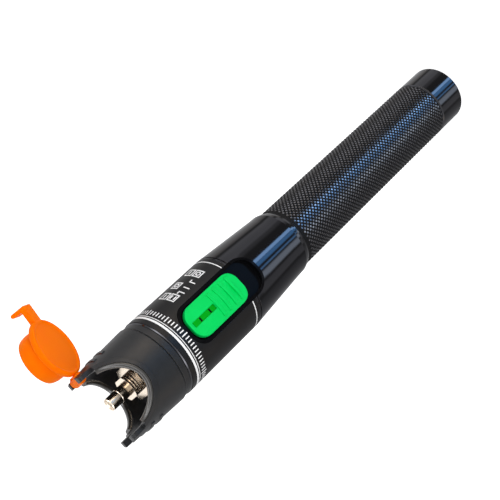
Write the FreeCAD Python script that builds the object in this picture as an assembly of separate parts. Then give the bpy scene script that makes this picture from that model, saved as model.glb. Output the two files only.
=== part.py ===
import FreeCAD, Part

import math
import os

from FreeCAD import Vector

# Pen-shaped visual fault locator, standing on its tail cap. The origin is the centre of the
# tail face, +Z runs along the pen to the fibre port, -Y is the side with the slide switch and
# +X is the prong that carries the dust cap. All lengths are millimetres.

# Batteries, which set the length of the rear half
battery_length = 50.5
battery_radius = 7.25
nub_radius = 2.75
nub_height = 1.3
nose_in_head = 16.6

# Tail cap, its spring and its thread
grip_radius = 10.3
tail_cap_length = 13.0
tail_floor = 2.5
tail_chamfer = 0.8
knurl_depth = 0.15
knurl_margin = 0.4
cup_gap = 0.3
cup_radius = battery_radius + cup_gap
spigot_length = 6.5
thread_wall = 1.1
thread_radius = grip_radius - thread_wall
thread_gap = 0.08
seat_thickness = 0.8
seat_gap = 0.5
spring_length = 7.0
spring_wire = 0.45
spring_turns = 4
spring_tip_radius = 2.6
wire_sides = 8
seal_section = 0.29 * (thread_radius - cup_radius)
seal_place = 1.6
edge_break = 0.35

# Battery tube
tube_gap = 0.65
tube_bore = battery_radius + tube_gap
neck_step = 1.0
neck_radius = grip_radius - neck_step
neck_length = 8.0

# Slide switch on the -Y side
button_width = 10.0
button_length = 21.7
button_offset = 1.6
button_corner = 3.8
button_rise = 0.8
button_edge_drop = 0.9
button_lift = 0.3
switch_travel = 6.0
recess_side_gap = 0.4
recess_end_gap = 1.0
recess_depth = 1.9
bezel_rim = 0.9
bezel_depth = 3.9
crescent_height = 0.35
rib_count = 4
rib_pitch = 2.6
rib_first = 3.0
rib_width = 0.9
rib_height = 0.3
rib_reach = 3.9
window_width = 1.7
window_length = 8.8
window_depth = 0.5
window_from_tip = 1.0
knob_width = 2.0
knob_length = 3.0
knob_gap = 0.3
switch_width = 7.0
board_gap = 0.1
board_thickness = 1.2
board_width = 14.0
chip_height = 1.0

# Head: glossy cone, then the label section
contact_room = 10.5
cone_length = nose_in_head + contact_room
cone_shoulder = 5.4
cone_rear_step = 0.45
cone_shoulder_step = 0.95
cone_rear_radius = grip_radius + cone_rear_step
cone_shoulder_radius = grip_radius + cone_shoulder_step
label_front = 7.9
label_length = button_offset + button_length + label_front
label_radius = 12.8
cone_front_radius = label_radius - 0.05
wrap_thickness = 0.22
head_wall = 1.5
head_bore = label_radius - head_wall
groove_depth = 0.35
groove_width = 0.5
part_gap = 0.05
button_top = label_radius + button_rise
recess_floor = label_radius - recess_depth
button_base = recess_floor + button_lift
bezel_back = label_radius - bezel_depth

# Front: trim ring, hood and bulkhead
trim_width = 2.4
trim_step = 0.25
trim_radius = label_radius - trim_step
hood_length = 20.4
hood_taper = 0.9
hood_tip_radius = label_radius - hood_taper
hood_wall = 1.75
hood_socket = 4.0
prong_thickness = 2.3
notch_radius = hood_tip_radius - prong_thickness
notch_drop = 2.2
lip_width = 1.3
lip_height = 0.5
slot_width = 5.6
slot_depth = 4.4
slot_corner = 1.4
horn_span = 10.8
horn_length = 4.0
horn_corner = 1.6
hood_rib_count = 2
hood_rib_pitch = 3.2
hood_rib_first = 10.0
hood_rib_length = 9.6
hood_rib_width = 1.1
hood_rib_height = 0.25
bulkhead_in_head = 5.0

# Fibre port for 2.5 mm ferrules
ferrule_radius = 1.25
sleeve_wall = 0.35
sleeve_slit = 0.4
sleeve_length = 11.4
barrel_wall = 0.5
barrel_radius = ferrule_radius + sleeve_wall + barrel_wall
barrel_step = 0.1
barrel_lip = 0.6
barrel_mouth = 1.75
tip_below_prongs = 3.2
flange_radius = 8.0
flange_thickness = 1.0
boss_across = 10.5
boss_height = 2.4
collar_radius = 4.0
collar_height = 3.0
collar_flat = 3.3
thread_rings = 3
thread_cut = 0.3

# Laser module behind the port
module_radius = 4.5
module_wall = 1.5
module_length = 17.0
module_from_port = 0.4
diode_flange = 1.2
can_radius = 1.8
can_length = 2.4
diode_radius = can_radius + 1.0
lens_thickness = 2.4
lens_place = 6.0
lens_bulge = 0.6
board_face = module_radius + board_thickness + board_gap
switch_height = bezel_back - board_face - 0.1

# Dust cap on its strap, folded open beside the hood
pin_inset = 1.3
pin_below_tips = 1.7
pin_radius = 0.6
pin_length = 8.6
pin_gap = 0.05
strap_radius = 1.6
strap_side_gap = 0.3
disc_gap = 1.2
disc_radius = hood_tip_radius - hood_wall - disc_gap
disc_thickness = 1.8
disc_rim = 0.9
disc_dish = 0.35
ball_step = 1.45
ball_radius = disc_radius - ball_step
ball_drop = 4.0
mouth_drop = 2.4
ball_wall = 1.5
hollow_radius = ball_radius - ball_wall
tip_room = 0.5
tab_width = 4.0
tab_thickness = 1.6
hook_clearance = 1.0
hook_thickness = 1.2
hook_length = 3.4
open_fold_deg = 187.5
open_twist_deg = 49.0

# Stations along the pen
battery_start = tail_floor + spring_length
battery_end = battery_start + 2 * battery_length
head_start = battery_end - nose_in_head
cone_end = head_start + cone_length
head_end = cone_end + label_length
hood_start = head_end + trim_width
tip = hood_start + hood_length
button_start = cone_end + button_offset
button_middle = button_start + button_length / 2
recess_start = button_start - switch_travel - recess_end_gap
recess_end = button_start + button_length + recess_end_gap
flange_start = hood_start + hood_socket
boss_start = flange_start + flange_thickness
collar_start = boss_start + boss_height
collar_end = collar_start + collar_height
barrel_end = tip - tip_below_prongs
pin_x = hood_tip_radius - pin_inset
pin_z = tip - pin_below_tips
pin_point = Vector(pin_x, 0, pin_z)


def revolved(points):
    wire = Part.makePolygon([Vector(r, 0, z) for r, z in points + points[:1]])
    return Part.Face(wire).revolve(Vector(0, 0, 0), Vector(0, 0, 1), 360)


def rod(radius, low, high):
    return Part.makeCylinder(radius, high - low, Vector(0, 0, low))


def ring(outer, inner, low, high):
    return rod(outer, low, high).cut(rod(inner, low, high))


def block(x_low, x_high, y_low, y_high, z_low, z_high):
    return Part.makeBox(x_high - x_low, y_high - y_low, z_high - z_low, Vector(x_low, y_low, z_low))


def wire_section(radius, centre):
    turns = [2 * math.pi * (index + 0.5) / wire_sides for index in range(wire_sides)]
    corners = [centre + Vector(radius * math.cos(a), 0, radius * math.sin(a)) for a in turns]
    return Part.Face(Part.makePolygon(corners + corners[:1]))


def seal_ring(inner_radius, place):
    section = wire_section(seal_section, Vector(inner_radius + seal_section, 0, place))
    return section.revolve(Vector(0, 0, 0), Vector(0, 0, 1), 360)


def seal_groove(radius, inner_radius, place):
    return ring(radius + 1, inner_radius, place - seal_section - part_gap, place + seal_section + part_gap)


def rounded_prism(width, low, high, corner, y_low, y_high):
    solid = block(-width / 2, width / 2, y_low, y_high, low, high)
    edges = [e for e in solid.Edges if abs(e.Vertexes[0].Y - e.Vertexes[1].Y) > 0.5 * (y_high - y_low)]
    return solid.makeFillet(corner, edges)


def tail_seal_radius():
    return thread_radius - part_gap - 2 * seal_section


def tail_cap():
    spigot = thread_radius - thread_gap
    top = tail_cap_length + spigot_length
    profile = [
        (0, 0),
        (grip_radius - tail_chamfer, 0),
        (grip_radius, tail_chamfer),
        (grip_radius, tail_cap_length - edge_break),
        (grip_radius - edge_break, tail_cap_length),
        (spigot, tail_cap_length),
        (spigot, top - edge_break),
        (spigot - edge_break, top),
        (cup_radius, top),
        (cup_radius, tail_floor),
        (0, tail_floor),
    ]
    groove = seal_groove(spigot, tail_seal_radius(), tail_cap_length + seal_place)
    return revolved(profile).cut(groove)


def tail_o_ring():
    return seal_ring(tail_seal_radius(), tail_cap_length + seal_place)


def spring_seat():
    return rod(cup_radius - seat_gap, tail_floor, tail_floor + seat_thickness)


def coil_point(index):
    share = index / (2 * spring_turns)
    base = cup_radius - seat_gap - 2 * spring_wire
    radius = base + share * (spring_tip_radius - base)
    low = tail_floor + seat_thickness + spring_wire
    high = battery_start - spring_wire
    return Vector((-1) ** index * radius, 0, low + share * (high - low))


def half_coil(index):
    start = coil_point(index)
    end = coil_point(index + 1)
    axis = (end - start).cross(Vector(0, 1, 0))
    return wire_section(spring_wire, start).revolve((start + end) * 0.5, axis, 180 * (-1) ** index)


def tail_spring():
    coils = [half_coil(index) for index in range(2 * spring_turns)]
    return coils[0].multiFuse(coils[1:])


def battery(start):
    can_end = start + battery_length - nub_height
    profile = [
        (0, start),
        (battery_radius - edge_break, start),
        (battery_radius, start + edge_break),
        (battery_radius, can_end - edge_break),
        (battery_radius - edge_break, can_end),
        (nub_radius, can_end),
        (nub_radius, start + battery_length),
        (0, start + battery_length),
    ]
    return revolved(profile)


def battery_tube():
    mouth = tail_cap_length + spigot_length + 1.0
    knurl_root = grip_radius - knurl_depth
    neck_end = head_start + neck_length
    profile = [
        (thread_radius, tail_cap_length),
        (grip_radius - edge_break, tail_cap_length),
        (knurl_root, tail_cap_length + knurl_margin),
        (knurl_root, head_start),
        (neck_radius, head_start),
        (neck_radius, neck_end),
        (tube_bore, neck_end),
        (tube_bore, mouth),
        (thread_radius, mouth),
    ]
    groove = seal_groove(neck_radius, head_seal_radius(), head_start + seal_place)
    return revolved(profile).cut(groove)


def head_seal_radius():
    return neck_radius + part_gap - 2 * seal_section


def head_o_ring():
    return seal_ring(head_seal_radius(), head_start + seal_place)


def cone_radius(z):
    rise = (z - head_start - cone_shoulder) / (cone_length - cone_shoulder)
    return cone_shoulder_radius + rise * (cone_front_radius - cone_shoulder_radius)


def head_outline(extra):
    return [
        (grip_radius + 0.1 + extra, head_start),
        (cone_rear_radius + extra, head_start + 0.9),
        (cone_rear_radius + 0.35 + extra, head_start + 0.4 * cone_shoulder),
        (cone_shoulder_radius + extra, head_start + cone_shoulder),
        (cone_front_radius + extra, cone_end - groove_width),
    ]


def head_sleeve():
    seat = label_radius - wrap_thickness
    bore = neck_radius + part_gap
    profile = head_outline(0) + [
        (cone_front_radius - groove_depth, cone_end - groove_width),
        (cone_front_radius - groove_depth, cone_end),
        (label_radius, cone_end),
        (label_radius, cone_end + groove_width),
        (seat, cone_end + groove_width),
        (seat, head_end - edge_break),
        (seat - edge_break, head_end),
        (head_bore, head_end),
        (head_bore, recess_start),
        (bore, head_start + neck_length + part_gap),
        (bore, head_start),
    ]
    opening = bezel_outline(part_gap, -2 * label_radius, -bezel_back)
    return revolved(profile).cut(opening)


def label_wrap():
    low = cone_end + groove_width + part_gap
    high = head_end - edge_break - part_gap
    wrap = ring(label_radius, label_radius - wrap_thickness, low, high)
    opening = bezel_outline(2 * part_gap, -2 * label_radius, -bezel_back)
    seam = block(-part_gap, part_gap, bezel_back, 2 * label_radius, low, high)
    return wrap.cut(opening).cut(seam)


def recess_corner():
    return button_corner + recess_side_gap


def recess_outline(extra, y_low, y_high):
    width = button_width + 2 * recess_side_gap + 2 * extra
    corner = recess_corner() + extra
    return rounded_prism(width, recess_start - extra, recess_end + extra, corner, y_low, y_high)


def bezel_outline(extra, y_low, y_high):
    return recess_outline(bezel_rim + extra, y_low, y_high)


def switch_bezel():
    outer = 2 * label_radius
    rear = revolved(
        [(0, head_start), *head_outline(crescent_height), (0, cone_end - groove_width)]
    )
    front = rod(label_radius, cone_end - groove_width, head_end)
    plug = bezel_outline(0, -outer, -bezel_back).common(rear.fuse(front))
    flange_low = recess_start + 1.0
    flange_high = recess_end + bezel_rim - 0.2
    flange = rod(head_bore - part_gap, flange_low, flange_high)
    flange = flange.common(block(-outer, outer, -outer, -bezel_back, flange_low, flange_high))
    pocket = recess_outline(0, -outer, -recess_floor)
    neck = knob_width / 2 + knob_gap
    slot = block(-neck, neck, -outer, 0, knob_start() - switch_travel - knob_gap, knob_end() + knob_gap)
    return plug.fuse(flange).cut(pocket).cut(slot).removeSplitter()


def knob_start():
    return button_middle - knob_length / 2


def knob_end():
    return button_middle + knob_length / 2


def button_blank():
    end = button_start + button_length
    blank = rounded_prism(button_width, button_start, end, button_corner, -button_top - 1, -button_base)
    across = rod(button_top, button_start - 1, end + 1)
    low = Vector(0, -button_top + button_edge_drop, button_start)
    peak = Vector(0, -button_top, button_middle)
    high = Vector(0, -button_top + button_edge_drop, end)
    base_high = Vector(0, 0, end)
    base_low = Vector(0, 0, button_start)
    arc = Part.Arc(low, peak, high).toShape()
    sides = [
        Part.makeLine(high, base_high),
        Part.makeLine(base_high, base_low),
        Part.makeLine(base_low, low),
    ]
    face = Part.Face(Part.Wire([arc, *sides]))
    along = face.extrude(Vector(button_width, 0, 0))
    along.translate(Vector(-button_width / 2, 0, 0))
    return blank.common(across).common(along)


def slide_button():
    button = button_blank()
    front = button_start + button_length
    for index in range(rib_count):
        low = button_start + rib_first + index * rib_pitch
        bar = block(-rib_reach, rib_reach, -2 * button_top, -button_base, low, low + rib_width)
        button = button.fuse(bar.common(rod(button_top + rib_height, low, low + rib_width)))
    half = window_width / 2
    high = front - window_from_tip
    window = block(-half, half, -2 * button_top, -button_top + window_depth, high - window_length, high)
    socket = knob_block(part_gap).common(rod(button_top - 1.0, button_start, front))
    return button.cut(window).cut(socket).removeSplitter()


def knob_block(extra):
    half = knob_width / 2 + extra
    return block(-half, half, -2 * button_top, 0, knob_start() - extra, knob_end() + extra)


def switch_knob():
    reach = rod(button_top - 1.1, button_start, button_start + button_length)
    return knob_block(0).common(reach).cut(block(-9, 9, -board_face - 1.0, 9, button_start, tip))


def switch_body():
    low = knob_start() - switch_travel - 4 * knob_gap
    high = knob_end() + 4 * knob_gap
    top = board_face + switch_height
    body = block(-switch_width / 2, switch_width / 2, -top, -board_face, low - 1, high + 1)
    half = knob_width / 2 + knob_gap
    return body.cut(block(-half, half, -top, -board_face - 0.6, low, high))


def board_start():
    return recess_start + 1.6


def board_end():
    return head_end - bulkhead_in_head - 0.4


def circuit_board():
    half = board_width / 2
    return block(-half, half, -board_face, board_thickness - board_face, board_start(), board_end())


def board_components():
    back = board_thickness - board_face
    chips = [(-2.0, 4.0, 3.0, 5.0), (2.6, 5.0, 2.0, 1.4), (2.6, 9.0, 2.0, 1.4), (-2.4, 12.0, 2.4, 2.4)]
    solids = []
    for x, z, width, length in chips:
        low = board_start() + z
        solids.append(block(x - width / 2, x + width / 2, back, back + chip_height, low, low + length))
    return Part.makeCompound(solids)


def carrier_start():
    return board_start() - 0.7


def board_carrier():
    reach = head_bore - 2 * part_gap
    face = board_thickness - board_face
    low = carrier_start()
    high = head_end - bulkhead_in_head - 0.2
    body = rod(reach, low, high).common(block(-reach, reach, face, reach, low, high))
    channel = block(-5.5, 5.5, face, 6.0, low + 2.5, module_start() - 1.0)
    seat = rod(module_radius + part_gap, module_start() - 1.5, high)
    return body.cut(channel).cut(seat)


def contact_insulator():
    low = head_start + neck_length + 0.3
    outer = neck_radius - 0.1
    cup = ring(outer, battery_radius + 0.2, low, battery_end - nub_height)
    floor_low = battery_end - nub_height
    floor = ring(outer, nub_radius + 0.3, floor_low, battery_end)
    back = ring(outer, 1.05, battery_end, battery_end + 3.0)
    pocket = rod(3.6, battery_end, battery_end + 0.8)
    return cup.fuse(floor).fuse(back).cut(pocket).removeSplitter()


def front_contact():
    head = rod(3.5, battery_end, battery_end + 0.8)
    return head.fuse(rod(1.0, battery_end + 0.8, battery_end + 3.4)).removeSplitter()


def contact_strip():
    low = battery_end + 3.0
    plate = block(-1.5, 1.5, -board_face - 0.4, 1.8, low, low + 0.4)
    leg = block(-1.5, 1.5, -board_face - 0.4, -board_face, low, board_start() + 2.0)
    return plate.fuse(leg).cut(rod(1.0, low, low + 0.4)).removeSplitter()


def module_end():
    return port_back() - module_from_port


def module_start():
    return module_end() - module_length


def laser_module():
    low = module_start()
    high = module_end()
    shell = ring(module_radius, module_radius - module_wall, low, high)
    stop = ring(module_radius, can_radius + 0.2, low + diode_flange, low + diode_flange + 1.4)
    rear = ring(module_radius, diode_radius + part_gap, low, low + diode_flange)
    return shell.fuse(stop).fuse(rear).removeSplitter()


def laser_diode():
    low = module_start()
    base = rod(diode_radius, low, low + diode_flange)
    can = rod(can_radius, low + diode_flange, low + diode_flange + can_length)
    diode = base.fuse(can)
    for turn in (0, 120, 240):
        lead = Part.makeCylinder(0.23, 3.0, Vector(1.27, 0, low - 3.0))
        lead.rotate(Vector(0, 0, 0), Vector(0, 0, 1), turn)
        diode = diode.fuse(lead)
    return diode.removeSplitter()


def collimating_lens():
    radius = module_radius - module_wall - part_gap / 2
    middle = module_end() - lens_place
    low = middle - lens_thickness / 2
    top = middle + lens_thickness / 2 + lens_bulge
    curve = (radius**2 + lens_bulge**2) / (2 * lens_bulge)
    return rod(radius, low, top).common(Part.makeSphere(curve, Vector(0, 0, top - curve)))


def bulkhead():
    low = head_end - bulkhead_in_head
    body = ring(head_bore - part_gap, module_radius + part_gap, low, flange_start)
    return body


def trim_ring():
    profile = [
        (head_bore, head_end),
        (trim_radius - edge_break, head_end),
        (trim_radius, head_end + edge_break),
        (trim_radius, hood_start - edge_break),
        (trim_radius - edge_break, hood_start),
        (head_bore, hood_start),
    ]
    return revolved(profile)


def hood_radius(z):
    rise = (z - hood_start) / hood_length
    return label_radius + rise * (hood_tip_radius - label_radius)


def hood_bore():
    return hood_tip_radius - hood_wall


def hood_blank(extra):
    outer = [
        (hood_radius(hood_start) + extra - edge_break, hood_start),
        (hood_radius(hood_start) + extra, hood_start + edge_break),
        (hood_tip_radius + extra, tip),
    ]
    bore = hood_bore()
    inner = [(bore, tip), (bore, flange_start), (head_bore, flange_start), (head_bore, hood_start)]
    return revolved(outer + inner)


def notch(extra):
    reach = 2 * label_radius
    middle = tip - notch_drop
    radius = notch_radius + extra
    bowl = Part.makeCylinder(radius, 2 * reach, Vector(0, -reach, middle), Vector(0, 1, 0))
    return bowl.fuse(block(-radius, radius, -reach, reach, middle, tip + 2))


def cap_slots():
    low = tip - slot_depth
    slot = block(-2 * label_radius, 2 * label_radius, -slot_width / 2, slot_width / 2, low, tip + 2)
    edges = [e for e in slot.Edges if abs(e.CenterOfMass.z - low) < 0.01 and abs(e.CenterOfMass.y) > 0.1]
    edges = [e for e in edges if e.Length > label_radius]
    return slot.makeFillet(slot_corner, edges)


def hood_ribs():
    ribs = []
    for index in range(hood_rib_count):
        low = hood_start + hood_rib_first + index * hood_rib_pitch - hood_rib_width / 2
        band = block(-20, 20, -hood_rib_length / 2, hood_rib_length / 2, low, low + hood_rib_width)
        ribs.append(hood_blank(hood_rib_height).common(band))
    return ribs


def beside_horns():
    low = tip - horn_length
    reach = 2 * label_radius
    tongue = block(-reach, reach, -horn_span / 2, horn_span / 2, low - horn_corner, tip)
    edges = [e for e in tongue.Edges if e.Length > reach and abs(e.CenterOfMass.z - tip) < 0.01]
    edges = [e for e in edges if abs(e.CenterOfMass.y) > 0.1]
    return block(-reach, reach, -reach, reach, low, tip + 2).cut(tongue.makeFillet(horn_corner, edges))


def pin_hole():
    return Part.makeCylinder(pin_radius, pin_length, Vector(pin_x, -pin_length / 2, pin_z), Vector(0, 1, 0))


def front_hood():
    hood = hood_blank(0)
    lips = hood_blank(lip_height).common(notch(lip_width))
    band = block(-20, 20, -20, 20, tip - notch_drop - notch_radius - lip_width - 1, tip)
    hood = hood.fuse(lips.common(band))
    for rib in hood_ribs():
        hood = hood.fuse(rib)
    hood = hood.cut(notch(0)).cut(beside_horns()).cut(cap_slots()).cut(pin_hole())
    return hood.removeSplitter()


def port_back():
    return flange_start - 2.0


def sleeve_outer():
    return ferrule_radius + sleeve_wall


def sleeve_end():
    return barrel_end - barrel_lip


def adapter_body():
    bore = barrel_radius + part_gap
    body = rod(flange_radius, flange_start, boss_start)
    half = boss_across / 2
    boss = block(-half, half, -half, half, boss_start, collar_start)
    corners = rod(1.22 * half, boss_start, collar_start)
    body = body.fuse(boss.common(corners))
    collar = rod(collar_radius, collar_start, collar_end)
    pitch = collar_height / (thread_rings + 0.5)
    for index in range(thread_rings):
        low = collar_start + (index + 0.5) * pitch
        collar = collar.cut(ring(collar_radius + 1, collar_radius - thread_cut, low, low + pitch / 2))
    flats = block(-collar_flat, collar_flat, -20, 20, collar_start, collar_end)
    body = body.fuse(collar.common(flats))
    body = body.fuse(rod(module_radius, port_back(), flange_start))
    return body.cut(rod(bore, port_back(), collar_end)).removeSplitter()


def ferrule_barrel():
    root = collar_end + 0.45 * (barrel_end - collar_end)
    bore = sleeve_outer() + 0.02
    sleeve_start = sleeve_end() - sleeve_length
    profile = [
        (ferrule_radius - 0.4, port_back()),
        (barrel_radius, port_back()),
        (barrel_radius, root),
        (barrel_radius - barrel_step, root + barrel_step),
        (barrel_radius - barrel_step, barrel_end - 0.2),
        (barrel_radius - barrel_step - 0.2, barrel_end),
        (barrel_mouth, barrel_end),
        (ferrule_radius + 0.1, sleeve_end()),
        (bore, sleeve_end()),
        (bore, sleeve_start),
        (ferrule_radius - 0.4, sleeve_start),
    ]
    return revolved(profile)


def ceramic_sleeve():
    low = sleeve_end() - sleeve_length
    sleeve = ring(sleeve_outer(), ferrule_radius, low, sleeve_end())
    return sleeve.cut(block(0, 3, -sleeve_slit / 2, sleeve_slit / 2, low, sleeve_end()))


def cap_pin():
    return pin_hole()


def opened(shape):
    shape.rotate(pin_point, Vector(0, 1, 0), open_fold_deg)
    return shape


def twisted(shape):
    lean = math.radians(180 - open_fold_deg)
    strap_axis = Vector(math.cos(lean), 0, math.sin(lean))
    shape.rotate(pin_point, strap_axis, -open_twist_deg)
    return shape


def strap_end():
    return pin_x - disc_radius


def cap_strap():
    half = slot_width / 2 - strap_side_gap
    knuckle = Part.makeCylinder(strap_radius, 2 * half, Vector(pin_x, -half, pin_z), Vector(0, 1, 0))
    neck = block(pin_x - strap_end() + part_gap, pin_x, -half, half, pin_z - disc_thickness / 2, pin_z + disc_thickness / 2)
    bore = Part.makeCylinder(pin_radius + pin_gap, 20, Vector(pin_x, -10, pin_z), Vector(0, 1, 0))
    return opened(knuckle.fuse(neck).cut(bore).removeSplitter())


def disc_profile():
    low = pin_z - disc_thickness / 2
    high = pin_z + disc_thickness / 2
    return [
        (0, low),
        (disc_radius - 0.3, low),
        (disc_radius, low + 0.3),
        (disc_radius, high - 0.3),
        (disc_radius - 0.3, high),
        (disc_radius - disc_rim, high),
        (disc_radius - disc_rim - 0.4, high - disc_dish),
        (0, high - disc_dish),
    ]


def dust_cap():
    ball_z = pin_z - ball_drop
    low = pin_z - disc_thickness / 2
    disc = revolved(disc_profile())
    ball = Part.makeSphere(ball_radius, Vector(0, 0, ball_z))
    ball = ball.common(rod(ball_radius + 1, ball_z - mouth_drop, low))
    roof = barrel_end + tip_room
    hollow = rod(hollow_radius, ball_z - 2 * ball_radius, roof)
    reach = hood_tip_radius + hook_clearance + hook_thickness
    top = low + tab_thickness
    half = tab_width / 2
    tab = block(-reach, -disc_radius + 0.8, -half, half, low, top)
    hook = block(-reach, -reach + hook_thickness, -half, half, low - hook_length, top)
    tip_edges = [e for e in hook.Edges if abs(e.CenterOfMass.z - low + hook_length) < 0.01 and e.Length > 3]
    hook = hook.makeFillet(0.55, tip_edges)
    cap = disc.fuse(ball).fuse(tab).fuse(hook).cut(hollow)
    return twisted(opened(cap.removeSplitter()))


def build_all():
    return {
        "tail_cap": tail_cap(),
        "tail_o_ring": tail_o_ring(),
        "spring_seat": spring_seat(),
        "tail_spring": tail_spring(),
        "battery_rear": battery(battery_start),
        "battery_front": battery(battery_start + battery_length),
        "battery_tube": battery_tube(),
        "head_o_ring": head_o_ring(),
        "head_sleeve": head_sleeve(),
        "label_wrap": label_wrap(),
        "switch_bezel": switch_bezel(),
        "slide_button": slide_button(),
        "switch_knob": switch_knob(),
        "switch_body": switch_body(),
        "circuit_board": circuit_board(),
        "board_components": board_components(),
        "board_carrier": board_carrier(),
        "contact_insulator": contact_insulator(),
        "front_contact": front_contact(),
        "contact_strip": contact_strip(),
        "laser_module": laser_module(),
        "laser_diode": laser_diode(),
        "collimating_lens": collimating_lens(),
        "bulkhead": bulkhead(),
        "trim_ring": trim_ring(),
        "front_hood": front_hood(),
        "adapter_body": adapter_body(),
        "ferrule_barrel": ferrule_barrel(),
        "ceramic_sleeve": ceramic_sleeve(),
        "cap_pin": cap_pin(),
        "cap_strap": cap_strap(),
        "dust_cap": dust_cap(),
    }


os.makedirs("parts", exist_ok=True)
for node, shape in build_all().items():
    shape.exportStep("parts/" + node + ".step")
    print(node, "valid", shape.isValid(), "solids", len(shape.Solids), "volume", round(shape.Volume, 1))
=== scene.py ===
import math

import bmesh
import bpy
from mathutils import Matrix, Vector


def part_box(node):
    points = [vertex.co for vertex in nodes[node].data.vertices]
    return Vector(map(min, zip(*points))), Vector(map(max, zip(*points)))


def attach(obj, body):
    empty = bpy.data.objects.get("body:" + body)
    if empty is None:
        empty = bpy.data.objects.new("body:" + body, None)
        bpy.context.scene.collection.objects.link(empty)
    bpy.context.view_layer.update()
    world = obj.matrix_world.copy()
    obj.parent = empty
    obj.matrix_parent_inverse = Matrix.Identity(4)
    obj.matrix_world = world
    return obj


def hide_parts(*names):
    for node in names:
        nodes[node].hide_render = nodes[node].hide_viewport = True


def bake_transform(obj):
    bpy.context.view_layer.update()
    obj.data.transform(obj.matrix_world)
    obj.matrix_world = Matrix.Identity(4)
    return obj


mm = 0.001
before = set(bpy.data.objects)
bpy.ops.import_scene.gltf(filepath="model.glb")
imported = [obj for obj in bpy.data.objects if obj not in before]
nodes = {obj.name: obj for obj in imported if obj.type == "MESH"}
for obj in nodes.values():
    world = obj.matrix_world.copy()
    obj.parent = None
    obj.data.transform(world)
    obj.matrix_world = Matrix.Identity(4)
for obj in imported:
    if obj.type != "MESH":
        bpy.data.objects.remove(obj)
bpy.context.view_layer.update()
print("stage: frame loaded,", len(nodes), "CAD nodes")


def linear(hexCode):
    values = [int(hexCode[i:i + 2], 16) / 255 for i in (1, 3, 5)]
    return tuple(v / 12.92 if v <= 0.04045 else ((v + 0.055) / 1.055) ** 2.4 for v in values) + (1.0,)


# one node with its settings; an input takes a number, a socket, or a node whose first output is linked
def addNode(tree, kind, settings=None, inputs=None):
    node = tree.nodes.new(kind)
    for name, value in (settings or {}).items():
        setattr(node, name, value)
    for name, value in (inputs or {}).items():
        if isinstance(value, bpy.types.Node):
            value = value.outputs[0]
        if isinstance(value, bpy.types.NodeSocket):
            tree.links.new(value, node.inputs[name])
        else:
            node.inputs[name].default_value = value
    return node


def newObject(name, mesh):
    piece = bpy.data.objects.new(name, mesh)
    bpy.context.scene.collection.objects.link(piece)
    return piece


# a Geometry Nodes tree with its named inputs, and the inputs' sockets
def startTree(name, sockets):
    tree = bpy.data.node_groups.new(name, "GeometryNodeTree")
    tree.interface.new_socket("Geometry", in_out="OUTPUT", socket_type="NodeSocketGeometry")
    for label, kind in sockets.items():
        tree.interface.new_socket(label, in_out="INPUT", socket_type="NodeSocket" + kind)
    return tree, addNode(tree, "NodeGroupInput").outputs


def giveTree(piece, tree, values):
    modifier = piece.modifiers.new(tree.name, "NODES")
    modifier.node_group = tree
    for item in tree.interface.items_tree:
        if item.item_type == "SOCKET" and item.in_out == "INPUT" and item.name in values:
            modifier[item.identifier] = values[item.name]


def bakeModifiers(piece):
    graph = bpy.context.evaluated_depsgraph_get()
    mesh = bpy.data.meshes.new_from_object(piece.evaluated_get(graph))
    piece.modifiers.clear()
    piece.data = mesh


def startMaterial(name):
    material = bpy.data.materials.new(name)
    material.use_nodes = True
    material.node_tree.nodes.clear()
    return material


def dress(piece, material):
    piece.data.materials.clear()
    piece.data.materials.append(material)


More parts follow.
